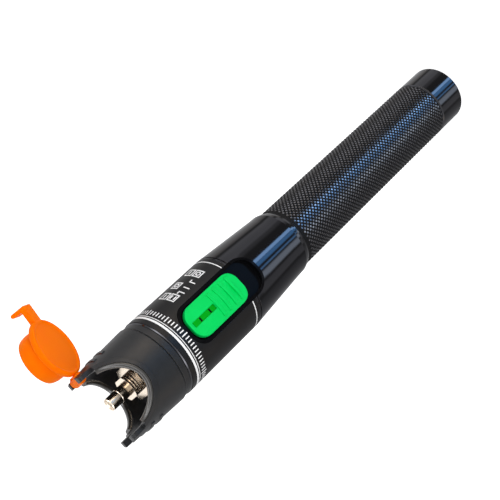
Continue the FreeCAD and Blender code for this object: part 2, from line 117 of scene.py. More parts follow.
# Each finish: colour, the second colour it drifts to, metallic, roughness and how far it varies,
# grain size in mm, bump height in mm, and the radius in mm that its edges are broken to.
# Some also give the spacing of turning rings in mm, IOR, shine as the specular level, or depth in mm
# that light sinks to. Real turning marks and the grain of an anodised, plated or moulded skin are too fine
# to show, so both are drawn as coarse as they need to be.
finishes = {
    # black anodised aluminium, turned then dyed: deep mirror-like black with faint turning rings
    "glossAnodised": dict(colour="#3B3B3E", drift="#404043", metallic=1.0, roughness=0.09, vary=0.02,
                          grain=0.6, bump=0.0006, edge=0.12, rings=0.25),
    # the same anodising over a rolled knurl, coloured far brighter than the plain anodising on the flats: a
    # painted glint on the flats
    "knurlFlatPaintedGlint": dict(colour="#808084", drift="#5C5C60", metallic=1.0, roughness=0.27, vary=0.05,
                          grain=0.5, bump=0.002, edge=0.03),
    # the knurl's flanks and the tube between the diamonds: the anodising painted near black and dull, as
    # painted shade in the grooves
    "knurlGroovePaintedShade": dict(colour="#0A0A0B", drift="#141416", metallic=0.0, roughness=0.5, vary=0.08,
                        grain=0.4, bump=0.004, edge=0.03, ior=1.5, shine=0.08),
    # printed film wrapped round the head: satin black lacquer that spreads the lamps softly
    "labelLacquer": dict(colour="#0A0A0B", drift="#0F0F11", metallic=0.0, roughness=0.36, vary=0.05,
                         grain=0.9, bump=0.003, edge=0.05, ior=1.5, shine=0.2),
    # glossy ABS plate round the switch: piano black that shows its rim as a bright line
    "pianoAbs": dict(colour="#08080A", drift="#0C0C0E", metallic=0.0, roughness=0.2, vary=0.03,
                     grain=0.8, bump=0.001, edge=0.18, ior=1.5, shine=0.03),
    # moulded ABS with a fine spark finish: matte black with a slight grain
    "mattAbs": dict(colour="#17181A", drift="#1D1E20", metallic=0.0, roughness=0.4, vary=0.06,
                    grain=0.28, bump=0.005, edge=0.22, ior=1.5, shine=0.25),
    # the hood's rolled lip: the hood's plastic painted lighter, as painted light falling on it from the
    # front, with a gloss that draws a thin bright line
    "lipAbsPaintedLight": dict(colour="#282624", drift="#2E2C29", metallic=0.0, roughness=0.24, vary=0.04,
                        grain=0.6, bump=0.002, edge=0.1, ior=1.55),
    # nickel-plated brass: bright, slightly warm metal with turning marks
    "nickelPlate": dict(colour="#CFC0AE", drift="#DCD0C0", metallic=1.0, roughness=0.18, vary=0.05,
                        grain=0.4, bump=0.002, edge=0.08, rings=0.12),
    # zirconia split sleeve: dense cream-white ceramic with a polished skin
    "zirconia": dict(colour="#E9E1D2", drift="#F1EBDF", metallic=0.0, roughness=0.18, vary=0.04,
                     grain=0.3, bump=0.001, edge=0.05, ior=2.1),
    # dyed ABS button, moulded in a polished tool: saturated green with a soft sheen
    "greenAbs": dict(colour="#00C456", drift="#00CC5C", metallic=0.0, roughness=0.34, vary=0.05,
                     grain=0.5, bump=0.003, edge=0.2, ior=1.46, shine=0.08),
    # the strip in the button's slot: the same ABS painted darker, as painted shade where it lies deep
    "sightGreenPaintedShade": dict(colour="#009410", drift="#00A018", metallic=0.0, roughness=0.3, vary=0.04,
                       grain=0.5, bump=0.002, edge=0.05, ior=1.46, shine=0.04),
    # moulded silicone rubber: soft orange, light passes into its thin edges
    "orangeSilicone": dict(colour="#FF6E00", drift="#FF7802", metallic=0.0, roughness=0.42, vary=0.06,
                           grain=0.7, bump=0.004, edge=0.2, ior=1.4, depth=0.9, shine=0.04),
    # nitrile seal: dull black rubber
    "nitrile": dict(colour="#161616", drift="#1E1E1E", metallic=0.0, roughness=0.6, vary=0.08,
                    grain=0.3, bump=0.006, edge=0.05, ior=1.52),
    # music wire: grey drawn steel with die lines
    "springSteel": dict(colour="#9A9A98", drift="#B0AFAB", metallic=1.0, roughness=0.28, vary=0.08,
                        grain=0.2, bump=0.002, edge=0.03),
    # contact brass: warm yellow metal, rubbed bright
    "contactBrass": dict(colour="#C7A256", drift="#D6B36A", metallic=1.0, roughness=0.26, vary=0.08,
                         grain=0.4, bump=0.002, edge=0.05),
    # shrunk PVC battery jacket: smooth film with slight orange peel
    "batteryFilm": dict(colour="#2A4A86", drift="#31549A", metallic=0.0, roughness=0.3, vary=0.05,
                        grain=1.2, bump=0.006, edge=0.2, ior=1.53),
    # FR4 board under solder resist: semi-gloss green glass weave
    "solderResist": dict(colour="#14532D", drift="#1B6638", metallic=0.0, roughness=0.35, vary=0.08,
                         grain=0.5, bump=0.004, edge=0.05, ior=1.55),
    # epoxy chip moulding: dark grey, finely eroded
    "chipEpoxy": dict(colour="#1B1B1D", drift="#26262A", metallic=0.0, roughness=0.55, vary=0.08,
                      grain=0.15, bump=0.003, edge=0.05, ior=1.55),
    # turned POM: waxy off-white plastic
    "innerPom": dict(colour="#CFCBC0", drift="#DAD6CB", metallic=0.0, roughness=0.45, vary=0.06,
                     grain=0.6, bump=0.003, edge=0.1, ior=1.48),
    # gold-plated diode can: thin warm flash over steel
    "goldFlash": dict(colour="#D8A94A", drift="#E2B85C", metallic=1.0, roughness=0.2, vary=0.05,
                      grain=0.2, bump=0.001, edge=0.04),
    # turned aluminium bulkhead, left bright: grey metal with tool rings
    "turnedAluminium": dict(colour="#B9BBBD", drift="#C8CACC", metallic=1.0, roughness=0.3, vary=0.07,
                            grain=0.5, bump=0.003, edge=0.1, rings=0.2),
}


grainLook = {
    "patches": 9,              # size of a colour patch over the grain's size
    "patchDetail": 3.0,
    "detail": 4.0,
    "detailRoughness": 0.6,    # weight of the finer layers of grain
    "patchRange": (0.3, 0.7),  # part of the patches' range that moves the roughness
    "waveScale": 0.314,        # wave texture scale that puts one ring in a unit of length
    "waver": 0.3,              # how far the rings stray from even
    "waveDetail": 1.0,
    "sunkShare": 0.35,         # share of the light that passes under a soft skin
    "sunkColour": (1.0, 0.32, 0.08),   # how far red, green and blue travel there
}


def buildFinish(name, look):
    material = startMaterial(name)
    tree = material.node_tree
    place = addNode(tree, "ShaderNodeTexCoord").outputs["Object"]
    patches = addNode(tree, "ShaderNodeTexNoise", inputs={
        "Vector": place, "Scale": 1 / (look["grain"] * grainLook["patches"] * mm),
        "Detail": grainLook["patchDetail"]}).outputs["Fac"]
    height = addNode(tree, "ShaderNodeTexNoise", inputs={
        "Vector": place, "Scale": 1 / (look["grain"] * mm),
        "Detail": grainLook["detail"], "Roughness": grainLook["detailRoughness"]}).outputs["Fac"]
    colour = addNode(tree, "ShaderNodeMix", {"data_type": "RGBA"}, {
        "Factor": patches, 6: linear(look["colour"]), 7: linear(look["drift"])})
    rough = addNode(tree, "ShaderNodeMapRange", inputs={
        "Value": patches, "From Min": grainLook["patchRange"][0], "From Max": grainLook["patchRange"][1],
        "To Min": look["roughness"] - look["vary"], "To Max": look["roughness"] + look["vary"]})
    if "rings" in look:  # turning marks: rings that step along the pen's axis
        rings = addNode(tree, "ShaderNodeTexWave", {"bands_direction": "Z"}, {
            "Vector": place, "Scale": grainLook["waveScale"] / (look["rings"] * mm),
            "Distortion": grainLook["waver"], "Detail": grainLook["waveDetail"]})
        height = addNode(tree, "ShaderNodeMath", {"operation": "ADD"}, {0: height, 1: rings.outputs["Fac"]})
    rounded = addNode(tree, "ShaderNodeBevel", {"samples": 4}, {"Radius": look["edge"] * mm})
    bump = addNode(tree, "ShaderNodeBump", inputs={
        "Height": height, "Distance": look["bump"] * mm, "Strength": 1.0, "Normal": rounded})
    shader = addNode(tree, "ShaderNodeBsdfPrincipled", inputs={
        "Base Color": colour.outputs[2], "Roughness": rough, "Metallic": look["metallic"], "Normal": bump})
    if "ior" in look:
        shader.inputs["IOR"].default_value = look["ior"]
    if "shine" in look:
        shader.inputs["Specular IOR Level"].default_value = look["shine"]
    if "depth" in look:  # light under the skin reddens as it travels
        shader.inputs["Subsurface Weight"].default_value = grainLook["sunkShare"]
        shader.inputs["Subsurface Radius"].default_value = grainLook["sunkColour"]
        shader.inputs["Subsurface Scale"].default_value = look["depth"] * mm
    addNode(tree, "ShaderNodeOutputMaterial", inputs={"Surface": shader})
    return material


def buildLensGlass():
    # coated optical glass: clear, with a faint green edge
    material = startMaterial("lensGlass")
    tree = material.node_tree
    place = addNode(tree, "ShaderNodeTexCoord").outputs["Object"]
    haze = addNode(tree, "ShaderNodeTexNoise", inputs={"Vector": place, "Scale": 1 / (2.5 * mm)})
    rough = addNode(tree, "ShaderNodeMapRange", inputs={
        "Value": haze.outputs["Fac"], "To Min": 0.0, "To Max": 0.04})
    shader = addNode(tree, "ShaderNodeBsdfPrincipled", inputs={
        "Base Color": linear("#E8F4EC"), "IOR": 1.52, "Transmission Weight": 1.0, "Roughness": rough})
    addNode(tree, "ShaderNodeOutputMaterial", inputs={"Surface": shader})
    return material


def buildPrintInk():
    # screen-printed white ink: a thin opaque coat, uneven where the screen's mesh let it through
    material = startMaterial("whitePrintInk")
    tree = material.node_tree
    place = addNode(tree, "ShaderNodeTexCoord").outputs["Object"]
    screen = addNode(tree, "ShaderNodeTexNoise", inputs={
        "Vector": place, "Scale": 1 / (0.2 * mm), "Detail": 2.0})
    colour = addNode(tree, "ShaderNodeMix", {"data_type": "RGBA"}, {
        "Factor": screen.outputs["Fac"], 6: linear("#E4E4E6"), 7: linear("#F4F4F4")})
    shader = addNode(tree, "ShaderNodeBsdfPrincipled", inputs={
        "Base Color": colour.outputs[2], "Roughness": 0.55, "IOR": 1.45})
    addNode(tree, "ShaderNodeOutputMaterial", inputs={"Surface": shader})
    return material


finish = {name: buildFinish(name, look) for name, look in finishes.items()}
finish["lensGlass"] = buildLensGlass()
finish["whitePrintInk"] = buildPrintInk()

nodeFinish = {
    "glossAnodised": ["tail_cap", "head_sleeve"],
    "knurlGroovePaintedShade": ["battery_tube"],
    "labelLacquer": ["label_wrap"],
    "pianoAbs": ["switch_bezel"],
    "mattAbs": ["front_hood", "trim_ring"],
    "nickelPlate": ["adapter_body", "ferrule_barrel", "cap_pin"],
    "zirconia": ["ceramic_sleeve"],
    "greenAbs": ["slide_button", "switch_knob"],
    "orangeSilicone": ["cap_strap", "dust_cap"],
    "nitrile": ["tail_o_ring", "head_o_ring"],
    "springSteel": ["tail_spring"],
    "contactBrass": ["spring_seat", "front_contact", "contact_strip"],
    "batteryFilm": ["battery_rear", "battery_front"],
    "solderResist": ["circuit_board"],
    "chipEpoxy": ["board_components", "switch_body"],
    "innerPom": ["board_carrier", "contact_insulator"],
    "goldFlash": ["laser_diode"],
    "turnedAluminium": ["bulkhead", "laser_module"],
    "lensGlass": ["collimating_lens"],
}
for finishName, names in nodeFinish.items():
    for name in names:
        dress(nodes[name], finish[finishName])
print("stage: finishes on", sum(len(names) for names in nodeFinish.values()), "nodes")


# rolled diamond knurl on the battery tube
knurl = {
    "around": 43,         # diamonds in one row
    "aspect": 1.0,        # length of a diamond over its width
    "height": 0.19,       # mm from the groove floor to the flat
    "flat": 0.52,         # width of the flat on top over the diamond's width
    "sink": 0.03,         # mm the foot goes into the tube
    "endMargin": 0.45,    # mm kept plain at each end
}


def buildKnurlTree():
    tree, given = startTree("diamondKnurl", {
        "Radius": "Float", "Start": "Float", "Row step": "Float", "Rows": "Int", "Around": "Int",
        "Half width": "Float", "Aspect": "Float", "Height": "Float", "Flat": "Float",
        "Flat glint finish": "Material", "Groove shade finish": "Material"})
    # the point's number gives its row and its place in the row; every second row is shifted by half a step
    index = addNode(tree, "GeometryNodeInputIndex")
    middle = addNode(tree, "ShaderNodeMath", {"operation": "ADD"}, {0: index, 1: 0.5})
    share = addNode(tree, "ShaderNodeMath", {"operation": "DIVIDE"}, {0: middle, 1: given["Around"]})
    row = addNode(tree, "ShaderNodeMath", {"operation": "FLOOR"}, {0: share})
    before = addNode(tree, "ShaderNodeMath", {"operation": "MULTIPLY"}, {0: row, 1: given["Around"]})
    column = addNode(tree, "ShaderNodeMath", {"operation": "SUBTRACT"}, {0: index, 1: before})
    odd = addNode(tree, "ShaderNodeMath", {"operation": "MODULO"}, {0: row, 1: 2.0})
    step = addNode(tree, "ShaderNodeMath", {"operation": "MULTIPLY_ADD"}, {0: odd, 1: 0.5, 2: column})
    whole = addNode(tree, "ShaderNodeMath", {"operation": "MULTIPLY"}, {0: step, 1: 2 * math.pi})
    turn = addNode(tree, "ShaderNodeMath", {"operation": "DIVIDE"}, {0: whole, 1: given["Around"]})
    across = addNode(tree, "ShaderNodeMath", {"operation": "COSINE"}, {0: turn})
    along = addNode(tree, "ShaderNodeMath", {"operation": "SINE"}, {0: turn})
    outward = addNode(tree, "ShaderNodeCombineXYZ", inputs={"X": across, "Y": along})
    level = addNode(tree, "ShaderNodeMath", {"operation": "MULTIPLY_ADD"}, {
        0: row, 1: given["Row step"], 2: given["Start"]})
    ring = addNode(tree, "ShaderNodeVectorMath", {"operation": "SCALE"}, {
        0: outward, "Scale": given["Radius"]})
    rise = addNode(tree, "ShaderNodeCombineXYZ", inputs={"Z": level})
    spot = addNode(tree, "ShaderNodeVectorMath", {"operation": "ADD"}, {0: ring, 1: rise})
    count = addNode(tree, "ShaderNodeMath", {"operation": "MULTIPLY"}, {0: given["Rows"], 1: given["Around"]})
    points = addNode(tree, "GeometryNodePoints", inputs={"Count": count, "Position": spot})

    top = addNode(tree, "ShaderNodeMath", {"operation": "MULTIPLY"}, {
        0: given["Half width"], 1: given["Flat"]})
    diamond = addNode(tree, "GeometryNodeMeshCone", inputs={
        "Vertices": 4, "Radius Top": top, "Radius Bottom": given["Half width"], "Depth": given["Height"]})
    # the flanks take the groove finish, a dark dull copy of the anodising: painted shade
    flanks = addNode(tree, "GeometryNodeSetMaterial", inputs={
        "Geometry": diamond, "Material": given["Groove shade finish"]})
    # the flat tops take the flat finish, a brighter copy of the anodising: painted glint
    crest = addNode(tree, "GeometryNodeSetMaterial", inputs={
        "Geometry": flanks, "Selection": diamond.outputs["Top"], "Material": given["Flat glint finish"]})
    facing = addNode(tree, "FunctionNodeAlignRotationToVector", {"axis": "Z"}, {"Vector": outward})
    upright = addNode(tree, "FunctionNodeAlignRotationToVector", {"axis": "X", "pivot_axis": "Z"}, {
        "Rotation": facing, "Vector": (0.0, 0.0, 1.0)})
    stretch = addNode(tree, "ShaderNodeCombineXYZ", inputs={"X": given["Aspect"], "Y": 1.0, "Z": 1.0})
    placed = addNode(tree, "GeometryNodeInstanceOnPoints", inputs={
        "Points": points, "Instance": crest, "Rotation": upright, "Scale": stretch})
    solid = addNode(tree, "GeometryNodeRealizeInstances", inputs={"Geometry": placed})
    addNode(tree, "NodeGroupOutput", inputs={"Geometry": solid})
    return tree


def makeKnurl():
    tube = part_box("battery_tube")
    radius = tube[1].x
    start = tube[0].z + knurl["endMargin"] * mm
    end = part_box("head_sleeve")[0].z - knurl["endMargin"] * mm
    halfWidth = math.pi * radius / knurl["around"]
    rowStep = halfWidth * knurl["aspect"]
    rows = int((end - start) / rowStep) - 1
    piece = newObject("tubeKnurl", bpy.data.meshes.new("tubeKnurl"))
    giveTree(piece, buildKnurlTree(), {
        "Radius": radius - knurl["sink"] * mm, "Start": start + rowStep, "Row step": rowStep, "Rows": rows,
        "Around": knurl["around"], "Half width": halfWidth, "Aspect": knurl["aspect"],
        "Height": (knurl["height"] + knurl["sink"]) * mm, "Flat": knurl["flat"],
        "Flat glint finish": finish["knurlFlatPaintedGlint"], "Groove shade finish": finish["knurlGroovePaintedShade"]})
    bakeModifiers(piece)
    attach(piece, "pen")
    print("stage: knurl,", rows, "rows of", knurl["around"])


makeKnurl()


# white print on the label: rings, ticks and framed signs
# a level is in mm back from the label's front end, and a middle round it is in mm from the switch side
labelPrint = {
    "film": 0.02,              # mm the ink stands proud
    "rearRing": (28.7, 0.32),  # level of its middle, and width; the switch plate interrupts it
    "plateHalf": 6.5,          # mm from the switch plate's middle to its side
    "thinRing": (2.9, 0.22),
    "thickRing": (2.05, 0.68),
    # each tick: middle round the label and level, and the level that its outer end steps to
    "ticks": ((10.1, 19.5, 20.5), (10.1, 17.0, 17.0), (10.1, 14.9, 13.9)),
    "tickLength": 2.2,
    # each framed sign: middle round the label, level, what it shows
    "signs": ((11.2, 23.4, "ring"), (14.6, 23.4, "bar"), (14.2, 17.1, "ring"),
              (10.9, 12.1, "bars"), (14.3, 12.1, "bar")),
    "signSize": 3.0,
    "line": 0.38,
    "ringShare": 0.45,         # radius of a sign's ring over half the sign's size
    "barShare": 0.5,           # length of a bar over the sign's size
    "barWide": 1.2,            # width of a bar over the line's width
    "barApart": 0.45,          # each of two bars from the middle, over half the sign's size
    "segment": 0.4,            # longest straight piece of a curved line, mm
    "arcSteps": 28,
}


def closeLoop(mesh, columns, joined):
    pairs = list(zip(columns, columns[1:])) + ([(columns[-1], columns[0])] if joined else [])
    for near, far in pairs:
        for side in range(4):
            nextSide = (side + 1) % 4
            mesh.faces.new((near[side], near[nextSide], far[nextSide], far[side]))
    if not joined:
        mesh.faces.new(columns[0][::-1])
        mesh.faces.new(columns[-1])


# a flat stroke, laid out with x round the label, y through the film and z along the pen
def addSlab(mesh, low, high):
    film = labelPrint["film"]
    count = max(1, int(math.ceil((high[0] - low[0]) / labelPrint["segment"])))
    columns = []
    for index in range(count + 1):
        x = low[0] + (high[0] - low[0]) * index / count
        columns.append([mesh.verts.new((x, y, z)) for y, z in (
            (film, low[1]), (film, high[1]), (-film, high[1]), (-film, low[1]))])
    closeLoop(mesh, columns, False)


def addRing(mesh, centre, radius):
    film = labelPrint["film"]
    inner, outer = radius - labelPrint["line"] / 2, radius + labelPrint["line"] / 2
    columns = []
    for index in range(labelPrint["arcSteps"]):
        turn = 2 * math.pi * index / labelPrint["arcSteps"]
        columns.append([
            mesh.verts.new((centre[0] + r * math.cos(turn), y, centre[1] + r * math.sin(turn)))
            for r, y in ((outer, film), (inner, film), (inner, -film), (outer, -film))])
    closeLoop(mesh, columns, True)


def addSign(mesh, x, z, shows):
    half = labelPrint["signSize"] / 2
    line = labelPrint["line"]
    addSlab(mesh, (x - half, z + half - line), (x + half, z + half))
    addSlab(mesh, (x - half, z - half), (x + half, z - half + line))
    addSlab(mesh, (x - half, z - half + line), (x - half + line, z + half - line))
    addSlab(mesh, (x + half - line, z - half + line), (x + half, z + half - line))
    if shows == "ring":
        addRing(mesh, (x, z), half * labelPrint["ringShare"])
    apart = half * labelPrint["barApart"]
    wide = line * labelPrint["barWide"] / 2
    tall = half * labelPrint["barShare"]
    for shift in {"ring": (), "bar": (0,), "bars": (-apart, apart)}[shows]:
        addSlab(mesh, (x + shift - wide, z - tall), (x + shift + wide, z + tall))


def buildWrapTree():
    tree, given = startTree("wrapOnLabel", {"Artwork": "Geometry", "Radius": "Float", "Ink": "Material"})
    place = addNode(tree, "GeometryNodeInputPosition")
    flat = addNode(tree, "ShaderNodeSeparateXYZ", inputs={0: place}).outputs
    turn = addNode(tree, "ShaderNodeMath", {"operation": "DIVIDE"}, {0: flat["X"], 1: given["Radius"]})
    reach = addNode(tree, "ShaderNodeMath", {"operation": "ADD"}, {0: flat["Y"], 1: given["Radius"]})
    sine = addNode(tree, "ShaderNodeMath", {"operation": "SINE"}, {0: turn})
    cosine = addNode(tree, "ShaderNodeMath", {"operation": "COSINE"}, {0: turn})
    towards = addNode(tree, "ShaderNodeMath", {"operation": "MULTIPLY"}, {0: cosine, 1: -1.0})
    spot = addNode(tree, "ShaderNodeCombineXYZ", inputs={
        "X": addNode(tree, "ShaderNodeMath", {"operation": "MULTIPLY"}, {0: sine, 1: reach}),
        "Y": addNode(tree, "ShaderNodeMath", {"operation": "MULTIPLY"}, {0: towards, 1: reach}),
        "Z": flat["Z"]})
    wrapped = addNode(tree, "GeometryNodeSetPosition", inputs={
        "Geometry": given["Artwork"], "Position": spot})
    solid = addNode(tree, "GeometryNodeRealizeInstances", inputs={"Geometry": wrapped})
    inked = addNode(tree, "GeometryNodeSetMaterial", inputs={"Geometry": solid, "Material": given["Ink"]})
    addNode(tree, "NodeGroupOutput", inputs={"Geometry": inked})
    return tree


def makeLabelPrint():
    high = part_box("label_wrap")[1]
    radius, front = high.x / mm, high.z / mm
    around = 2 * math.pi * radius
    line = labelPrint["line"]
    reach = labelPrint["tickLength"] / 2
    flat = bmesh.new()
    side = radius * math.asin(labelPrint["plateHalf"] / radius)
    for name, start, end in (
            ("rearRing", side, around - side), ("thinRing", 0, around), ("thickRing", 0, around)):
        back, width = labelPrint[name]
        addSlab(flat, (start, front - back - width / 2), (end, front - back + width / 2))
    for x, back, stepBack in labelPrint["ticks"]:
        z, stepZ = front - back, front - stepBack
        addSlab(flat, (x - reach, z - line / 2), (x + reach, z + line / 2))
        if stepBack != back:  # the tick bends towards its sign
            low, high = sorted((z + math.copysign(line / 2, stepZ - z), stepZ))
            addSlab(flat, (x + reach - line, low), (x + reach, high))
    for x, back, shows in labelPrint["signs"]:
        addSign(flat, x, front - back, shows)
    bmesh.ops.scale(flat, vec=(mm, mm, mm), verts=flat.verts)
    mesh = bpy.data.meshes.new("labelPrint")
    flat.to_mesh(mesh)
    flat.free()
    piece = newObject("labelPrint", mesh)
    giveTree(piece, buildWrapTree(), {"Radius": radius * mm, "Ink": finish["whitePrintInk"]})
    bakeModifiers(piece)
    merged = bmesh.new()
    merged.from_mesh(piece.data)
    bmesh.ops.remove_doubles(merged, verts=merged.verts, dist=1e-7)
    bmesh.ops.recalc_face_normals(merged, faces=merged.faces)
    merged.to_mesh(piece.data)
    merged.free()
    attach(piece, "pen")
    print("stage: label print")


makeLabelPrint()


# graduated ring in front of the switch
scaleRing = {
    "back": 4.55,         # mm from the label's front end to the middle of the strokes
    "length": 1.5,        # mm, and longer at every sixth stroke
    "longer": 2.1,
    "width": 0.34,
    "count": 72,
    "every": 6,
    "film": 0.02,         # mm the ink stands proud
}


def buildScaleTree():
    tree, given = startTree("graduatedRing", {
        "Radius": "Float", "Level": "Float", "Count": "Int", "Every": "Int", "Width": "Float",
        "Length": "Float", "Longer": "Float", "Film": "Float", "Ink": "Material"})
    index = addNode(tree, "GeometryNodeInputIndex")
    whole = addNode(tree, "ShaderNodeMath", {"operation": "MULTIPLY"}, {0: index, 1: 2 * math.pi})
    turn = addNode(tree, "ShaderNodeMath", {"operation": "DIVIDE"}, {0: whole, 1: given["Count"]})
    outward = addNode(tree, "ShaderNodeCombineXYZ", inputs={
        "X": addNode(tree, "ShaderNodeMath", {"operation": "COSINE"}, {0: turn}),
        "Y": addNode(tree, "ShaderNodeMath", {"operation": "SINE"}, {0: turn})})
    ring = addNode(tree, "ShaderNodeVectorMath", {"operation": "SCALE"}, {
        0: outward, "Scale": given["Radius"]})
    rise = addNode(tree, "ShaderNodeCombineXYZ", inputs={"Z": given["Level"]})
    spot = addNode(tree, "ShaderNodeVectorMath", {"operation": "ADD"}, {0: ring, 1: rise})
    points = addNode(tree, "GeometryNodePoints", inputs={"Count": given["Count"], "Position": spot})
    sizes = addNode(tree, "ShaderNodeCombineXYZ", inputs={
        "X": given["Film"], "Y": given["Width"], "Z": given["Length"]})
    stroke = addNode(tree, "GeometryNodeMeshCube", inputs={"Size": sizes})
    facing = addNode(tree, "ShaderNodeCombineXYZ", inputs={"Z": turn})
    # every so many strokes, one is stretched to the longer length
    place = addNode(tree, "ShaderNodeMath", {"operation": "MODULO"}, {0: index, 1: given["Every"]})
    first = addNode(tree, "ShaderNodeMath", {"operation": "LESS_THAN"}, {0: place, 1: 0.5})
    stretch = addNode(tree, "ShaderNodeMath", {"operation": "DIVIDE"}, {
        0: given["Longer"], 1: given["Length"]})
    extra = addNode(tree, "ShaderNodeMath", {"operation": "SUBTRACT"}, {0: stretch, 1: 1.0})
    grow = addNode(tree, "ShaderNodeMath", {"operation": "MULTIPLY_ADD"}, {0: first, 1: extra, 2: 1.0})
    size = addNode(tree, "ShaderNodeCombineXYZ", inputs={"X": 1.0, "Y": 1.0, "Z": grow})
    placed = addNode(tree, "GeometryNodeInstanceOnPoints", inputs={
        "Points": points, "Instance": stroke, "Rotation": facing, "Scale": size})
    solid = addNode(tree, "GeometryNodeRealizeInstances", inputs={"Geometry": placed})
    inked = addNode(tree, "GeometryNodeSetMaterial", inputs={"Geometry": solid, "Material": given["Ink"]})
    addNode(tree, "NodeGroupOutput", inputs={"Geometry": inked})
    return tree


def makeScaleRing():
    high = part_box("label_wrap")[1]
    piece = newObject("scaleRing", bpy.data.meshes.new("scaleRing"))
    giveTree(piece, buildScaleTree(), {
        "Radius": high.x, "Level": high.z - scaleRing["back"] * mm,
        "Count": scaleRing["count"], "Every": scaleRing["every"], "Width": scaleRing["width"] * mm,
        "Length": scaleRing["length"] * mm, "Longer": scaleRing["longer"] * mm,
        "Film": 2 * scaleRing["film"] * mm, "Ink": finish["whitePrintInk"]})
    bakeModifiers(piece)
    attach(piece, "pen")
    print("stage: graduated ring")


makeScaleRing()


# rolled lip round the hood's mouth
hoodLip = {
    "notchRadius": 9.6,     # mm, as the hood is cut
    "notchDrop": 2.2,       # mm from the prong tips to the notch's middle
    "endDrop": 4.3,         # mm from the prong tips to where the lip stops
    "taper": 0.9,           # mm that the hood's radius loses from its foot to its tips
    "inset": 1.1,           # mm from the hood's skin to the lip's middle
    "thick": 1.1,           # radius of the roll, mm
    "steps": 72,
    "facets": 20,
}


def buildLipTree():
    tree, given = startTree("rolledLip", {
        "Path": "Geometry", "Thick": "Float", "Facets": "Int", "Finish": "Material"})
    path = addNode(tree, "GeometryNodeMeshToCurve", inputs={"Mesh": given["Path"]})
    section = addNode(tree, "GeometryNodeCurvePrimitiveCircle", inputs={
        "Resolution": given["Facets"], "Radius": given["Thick"]})
    roll = addNode(tree, "GeometryNodeCurveToMesh", inputs={
        "Curve": path, "Profile Curve": section, "Fill Caps": True})
    smooth = addNode(tree, "GeometryNodeSetShadeSmooth", inputs={"Geometry": roll})
    solid = addNode(tree, "GeometryNodeRealizeInstances", inputs={"Geometry": smooth})
    coated = addNode(tree, "GeometryNodeSetMaterial", inputs={"Geometry": solid, "Material": given["Finish"]})
    addNode(tree, "NodeGroupOutput", inputs={"Geometry": coated})
    return tree


def makeHoodLip():
    low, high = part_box("front_hood")
    tip, foot = high.z / mm, low.z / mm
    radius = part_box("label_wrap")[1].x / mm
    path = bmesh.new()
    for side in (-1, 1):
        last = None
        for index in range(hoodLip["steps"] + 1):
            turn = math.radians(-90 + 180 * index / hoodLip["steps"])
            x = hoodLip["notchRadius"] * math.sin(turn)
            z = tip - hoodLip["notchDrop"] - hoodLip["notchRadius"] * math.cos(turn)
            if z > tip - hoodLip["endDrop"]:
                continue
            skin = radius - hoodLip["taper"] * (z - foot) / (tip - foot) - hoodLip["inset"]
            vertex = path.verts.new((x * mm, side * math.sqrt(skin ** 2 - x ** 2) * mm, z * mm))
            if last:
                path.edges.new((last, vertex))
            last = vertex
    mesh = bpy.data.meshes.new("hoodLip")
    path.to_mesh(mesh)
    path.free()
    piece = newObject("hoodLip", mesh)
    # the lip's finish is the hood plastic painted lighter: painted light
    giveTree(piece, buildLipTree(), {
        "Thick": hoodLip["thick"] * mm, "Facets": hoodLip["facets"], "Finish": finish["lipAbsPaintedLight"]})
    bakeModifiers(piece)
    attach(piece, "pen")
    print("stage: hood lip")


makeHoodLip()


# sight strip in the button's slot, painted darker green as painted shade, with two black plates across it as
# the painted shade of two slits
sightStrip = {
    "halfWide": 0.82,          # mm
    "front": 1.05,             # mm from the button's front end to the strip
    "long": 8.7,               # mm, length of the strip
    "crownRise": 0.3,          # mm that the button's ribs stand over its crown
    "depth": 0.42,             # mm under the button's crown
    "thick": 0.25,             # mm
    "slits": (2.1, 6.1),       # mm from the strip's rear end to each slit
    "slitLong": 0.55,
    "slitShare": 0.8,          # width of a slit over the strip's width
    "slitRise": 0.06,
}


def addPlate(mesh, half, low, high, top, rise):
    corners = []
    for z in (low, high):
        for x in (-half, half):
            for y in (-(top + rise), -(top - sightStrip["thick"])):
                corners.append(mesh.verts.new((x * mm, y * mm, z * mm)))
    a, b, c, d, e, f, g, h = corners
    sides = ((a, c, d, b), (e, f, h, g), (a, b, f, e), (c, g, h, d), (a, e, g, c), (b, d, h, f))
    return [mesh.faces.new(side) for side in sides]


def makeSightStrip():
    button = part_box("slide_button")
    top = -button[0].y / mm - sightStrip["crownRise"] - sightStrip["depth"]
    front = button[1].z / mm - sightStrip["front"]
    rear = front - sightStrip["long"]
    blocks = bmesh.new()
    addPlate(blocks, sightStrip["halfWide"], rear, front, top, 0.0)
    half = sightStrip["slitLong"] / 2
    for place in sightStrip["slits"]:
        z = rear + place
        wide = sightStrip["halfWide"] * sightStrip["slitShare"]
        # each slit is a black plate standing proud of the strip: painted shade
        for face in addPlate(blocks, wide, z - half, z + half, top, sightStrip["slitRise"]):
            face.material_index = 1
    bmesh.ops.recalc_face_normals(blocks, faces=blocks.faces)
    mesh = bpy.data.meshes.new("sightStrip")
    blocks.to_mesh(mesh)
    blocks.free()
    # the strip's darker green is painted shade
    mesh.materials.append(finish["sightGreenPaintedShade"])
    mesh.materials.append(finish["pianoAbs"])
    piece = newObject("sightStrip", mesh)
    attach(piece, "slider")
    print("stage: sight strip")


makeSightStrip()


# the dust cap and its strap: their solids' forms with the soft radii of a silicone moulding
# voxel in mm; the relaxing is done in rounds, each by the same factor
mouldings = {
    "siliconeCap": dict(node="dust_cap", voxel=0.16, rounds=5, relax=0.5,
                        finish="orangeSilicone", slot="cap_orange"),
    "siliconeStrap": dict(node="cap_strap", voxel=0.10, rounds=4, relax=0.5,
                          finish="orangeSilicone", slot="cap_orange"),
}


